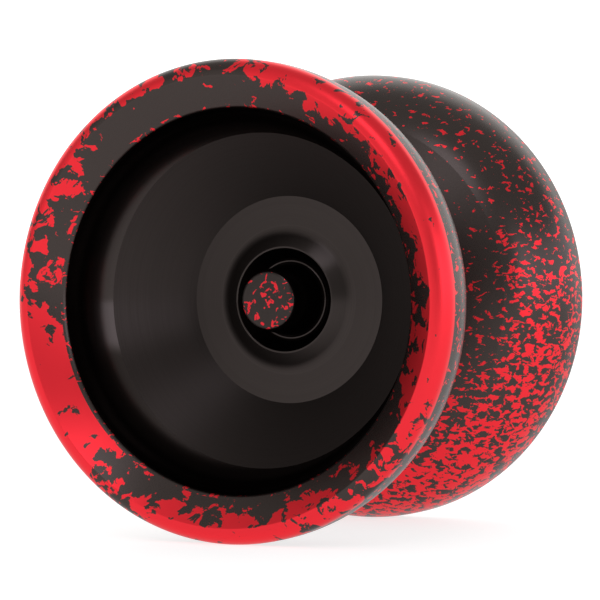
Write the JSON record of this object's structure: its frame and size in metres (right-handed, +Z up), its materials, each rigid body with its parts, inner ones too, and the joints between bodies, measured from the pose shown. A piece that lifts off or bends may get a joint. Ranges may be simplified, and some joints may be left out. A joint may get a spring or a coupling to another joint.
{
  "type": "yo-yo",
  "caption": "Metal ball-bearing yo-yo: two wide cupped halves with rounded rims on a screw axle, a string gap round the bearing, splash-anodised black and red.",
  "frame": {"origin": "centre of the whole yo-yo: on the axle, in the middle of the string gap", "axes": "+Y along the axle from the front half to the rear half, +Z up, +X to the right seen from the front half; the yo-yo stands on both rims at z = -28.1 mm"},
  "size_m": [0.0562, 0.0442, 0.0562],
  "materials": {
    "splash_anodised": "black anodised, splashed with red anodised flakes, satin gloss",
    "silicone": "matt translucent silicone",
    "screw_steel": "black oxide",
    "race_steel": "ground and polished",
    "ball_steel": "lapped mirror",
    "cage_steel": "pressed, satin",
    "shield_steel": "pressed, satin",
    "spring_steel": "drawn wire"
  },
  "bodies": {
    "rear": {"rear_half": "splash_anodised", "rear_response_pad": "silicone", "axle_screw": "screw_steel"},
    "inner_race": {"bearing_inner_race": "race_steel"},
    "front": {"front_half": "splash_anodised", "front_response_pad": "silicone"},
    "outer_race": {"bearing_outer_race": "race_steel", "front_bearing_shield": "shield_steel", "rear_bearing_shield": "shield_steel", "front_snap_ring": "spring_steel", "rear_snap_ring": "spring_steel"},
    "cage": {"bearing_cage": "cage_steel"},
    "ball_01": {"bearing_ball_01": "ball_steel"},
    "ball_02": {"bearing_ball_02": "ball_steel"},
    "ball_03": {"bearing_ball_03": "ball_steel"},
    "ball_04": {"bearing_ball_04": "ball_steel"},
    "ball_05": {"bearing_ball_05": "ball_steel"},
    "ball_06": {"bearing_ball_06": "ball_steel"},
    "ball_07": {"bearing_ball_07": "ball_steel"},
    "ball_08": {"bearing_ball_08": "ball_steel"},
    "ball_09": {"bearing_ball_09": "ball_steel"},
    "ball_10": {"bearing_ball_10": "ball_steel"}
  },
  "joints": [
    {"name": "bearing_travel", "type": "slide", "parent": "rear", "child": "inner_race", "axis": [0, -1, 0], "range_m": [0, 0.0056]},
    {"name": "half_unscrew", "type": "hinge", "parent": "inner_race", "child": "front", "pos_m": [0, 0, 0], "axis": [0, -1, 0], "range_deg": [0, 2880]},
    {"name": "bearing_spin", "type": "hinge", "parent": "inner_race", "child": "outer_race", "pos_m": [0, 0, 0], "axis": [0, 1, 0], "continuous": true},
    {"name": "cage_orbit", "type": "hinge", "parent": "inner_race", "child": "cage", "pos_m": [0, 0, 0], "axis": [0, 1, 0], "continuous": true},
    {"name": "ball_01_spin", "type": "hinge", "parent": "cage", "child": "ball_01", "pos_m": [0.00476, 0, 0], "axis": [0, 1, 0], "continuous": true},
    {"name": "ball_02_spin", "type": "hinge", "parent": "cage", "child": "ball_02", "pos_m": [0.00385, 0, 0.0028], "axis": [0, 1, 0], "continuous": true},
    {"name": "ball_03_spin", "type": "hinge", "parent": "cage", "child": "ball_03", "pos_m": [0.00147, 0, 0.00453], "axis": [0, 1, 0], "continuous": true},
    {"name": "ball_04_spin", "type": "hinge", "parent": "cage", "child": "ball_04", "pos_m": [-0.00147, 0, 0.00453], "axis": [0, 1, 0], "continuous": true},
    {"name": "ball_05_spin", "type": "hinge", "parent": "cage", "child": "ball_05", "pos_m": [-0.00385, 0, 0.0028], "axis": [0, 1, 0], "continuous": true},
    {"name": "ball_06_spin", "type": "hinge", "parent": "cage", "child": "ball_06", "pos_m": [-0.00476, 0, 0], "axis": [0, 1, 0], "continuous": true},
    {"name": "ball_07_spin", "type": "hinge", "parent": "cage", "child": "ball_07", "pos_m": [-0.00385, 0, -0.0028], "axis": [0, 1, 0], "continuous": true},
    {"name": "ball_08_spin", "type": "hinge", "parent": "cage", "child": "ball_08", "pos_m": [-0.00147, 0, -0.00453], "axis": [0, 1, 0], "continuous": true},
    {"name": "ball_09_spin", "type": "hinge", "parent": "cage", "child": "ball_09", "pos_m": [0.00147, 0, -0.00453], "axis": [0, 1, 0], "continuous": true},
    {"name": "ball_10_spin", "type": "hinge", "parent": "cage", "child": "ball_10", "pos_m": [0.00385, 0, -0.0028], "axis": [0, 1, 0], "continuous": true}
  ],
  "couplings": [
    {"joint": "bearing_travel", "follows": "half_unscrew", "m_per_rad": 0.00011141},
    {"joint": "cage_orbit", "follows": "bearing_spin", "ratio": 0.58336},
    {"joint": "ball_01_spin", "follows": "bearing_spin", "ratio": 2.9157},
    {"joint": "ball_02_spin", "follows": "bearing_spin", "ratio": 2.9157},
    {"joint": "ball_03_spin", "follows": "bearing_spin", "ratio": 2.9157},
    {"joint": "ball_04_spin", "follows": "bearing_spin", "ratio": 2.9157},
    {"joint": "ball_05_spin", "follows": "bearing_spin", "ratio": 2.9157},
    {"joint": "ball_06_spin", "follows": "bearing_spin", "ratio": 2.9157},
    {"joint": "ball_07_spin", "follows": "bearing_spin", "ratio": 2.9157},
    {"joint": "ball_08_spin", "follows": "bearing_spin", "ratio": 2.9157},
    {"joint": "ball_09_spin", "follows": "bearing_spin", "ratio": 2.9157},
    {"joint": "ball_10_spin", "follows": "bearing_spin", "ratio": 2.9157}
  ]
}
